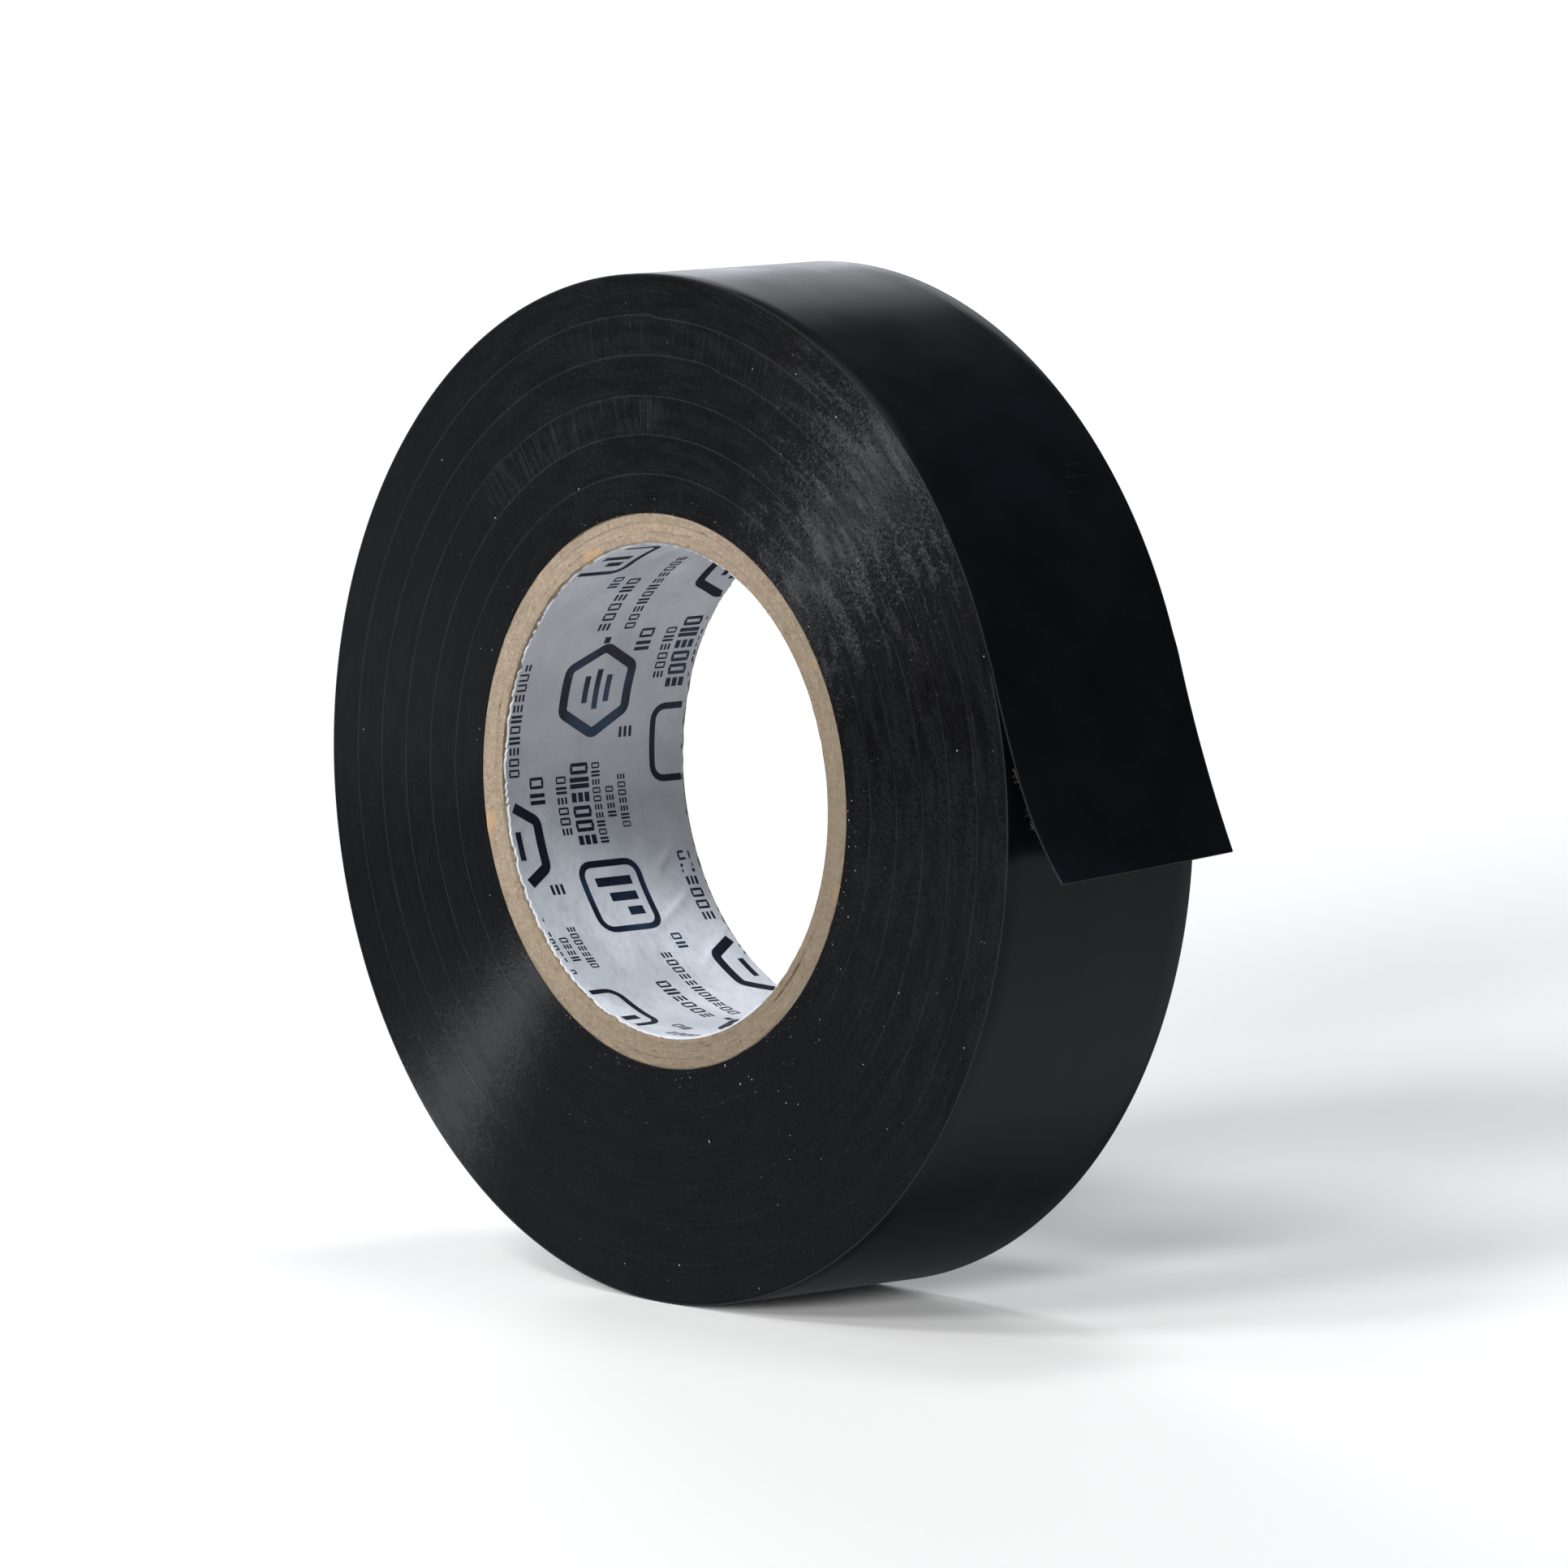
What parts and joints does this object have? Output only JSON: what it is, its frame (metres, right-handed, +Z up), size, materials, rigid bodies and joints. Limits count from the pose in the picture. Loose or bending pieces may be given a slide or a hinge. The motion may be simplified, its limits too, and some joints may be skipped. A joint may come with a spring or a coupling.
{
  "type": "electrical tape roll",
  "caption": "Roll of black PVC electrical tape on a paper core with a printed liner, standing on its edge with a short free end lifted off the roll.",
  "frame": {"origin": "centre of the core's bore, halfway across the tape's width", "axes": "Y along the roll's axis, +Z up as it stands on its edge, +X towards the side where the free end leaves the roll"},
  "size_m": [0.0844, 0.019, 0.0799],
  "materials": {
    "liner_paper": "semi-gloss printed paper, navy print on white",
    "kraft_board": "uncoated kraft board, fibrous cut edge",
    "wound_tape": "satin, finely grooved by the cut edges of the turns",
    "pvc_film": "smooth satin black PVC film",
    "adhesive": "glossy tacky rubber adhesive"
  },
  "bodies": {
    "roll": {"printed_liner": "liner_paper", "core_ply_1": "kraft_board", "core_ply_2": "kraft_board", "core_ply_3": "kraft_board", "turns_1": "wound_tape", "turns_2": "wound_tape", "turns_3": "wound_tape", "turns_4": "wound_tape", "turns_5": "wound_tape", "turns_6": "wound_tape", "outer_turn_adhesive": "adhesive", "outer_turn_film": "pvc_film"},
    "free_end_1": {"free_end_film_1": "pvc_film", "free_end_adhesive_1": "adhesive"},
    "free_end_2": {"free_end_film_2": "pvc_film", "free_end_adhesive_2": "adhesive"},
    "free_end_3": {"free_end_film_3": "pvc_film", "free_end_adhesive_3": "adhesive"},
    "free_end_4": {"free_end_film_4": "pvc_film", "free_end_adhesive_4": "adhesive"},
    "free_end_5": {"free_end_film_5": "pvc_film", "free_end_adhesive_5": "adhesive"}
  },
  "joints": [
    {"name": "peel", "type": "hinge", "parent": "roll", "child": "free_end_1", "pos_m": [0.03805, 0, 0.01236], "axis": [0, -1, 0], "range_deg": [-3.35, 12], "stiffness_Nm_per_rad": 0.00008},
    {"name": "bend_2", "type": "hinge", "parent": "free_end_1", "child": "free_end_2", "pos_m": [0.03913, 0, 0.00924], "axis": [0, -1, 0], "range_deg": [-6.7, 24], "stiffness_Nm_per_rad": 0.00008},
    {"name": "bend_3", "type": "hinge", "parent": "free_end_2", "child": "free_end_3", "pos_m": [0.04031, 0, 0.00616], "axis": [0, -1, 0], "range_deg": [-6.7, 24], "stiffness_Nm_per_rad": 0.00008},
    {"name": "bend_4", "type": "hinge", "parent": "free_end_3", "child": "free_end_4", "pos_m": [0.0416, 0, 0.00313], "axis": [0, -1, 0], "range_deg": [-6.7, 24], "stiffness_Nm_per_rad": 0.00008},
    {"name": "bend_5", "type": "hinge", "parent": "free_end_4", "child": "free_end_5", "pos_m": [0.04299, 0, 0.00014], "axis": [0, -1, 0], "range_deg": [-6.7, 24], "stiffness_Nm_per_rad": 0.00008}
  ],
  "couplings": [
    {"joint": "bend_2", "follows": "peel", "ratio": 2},
    {"joint": "bend_3", "follows": "peel", "ratio": 2},
    {"joint": "bend_4", "follows": "peel", "ratio": 2},
    {"joint": "bend_5", "follows": "peel", "ratio": 2}
  ]
}
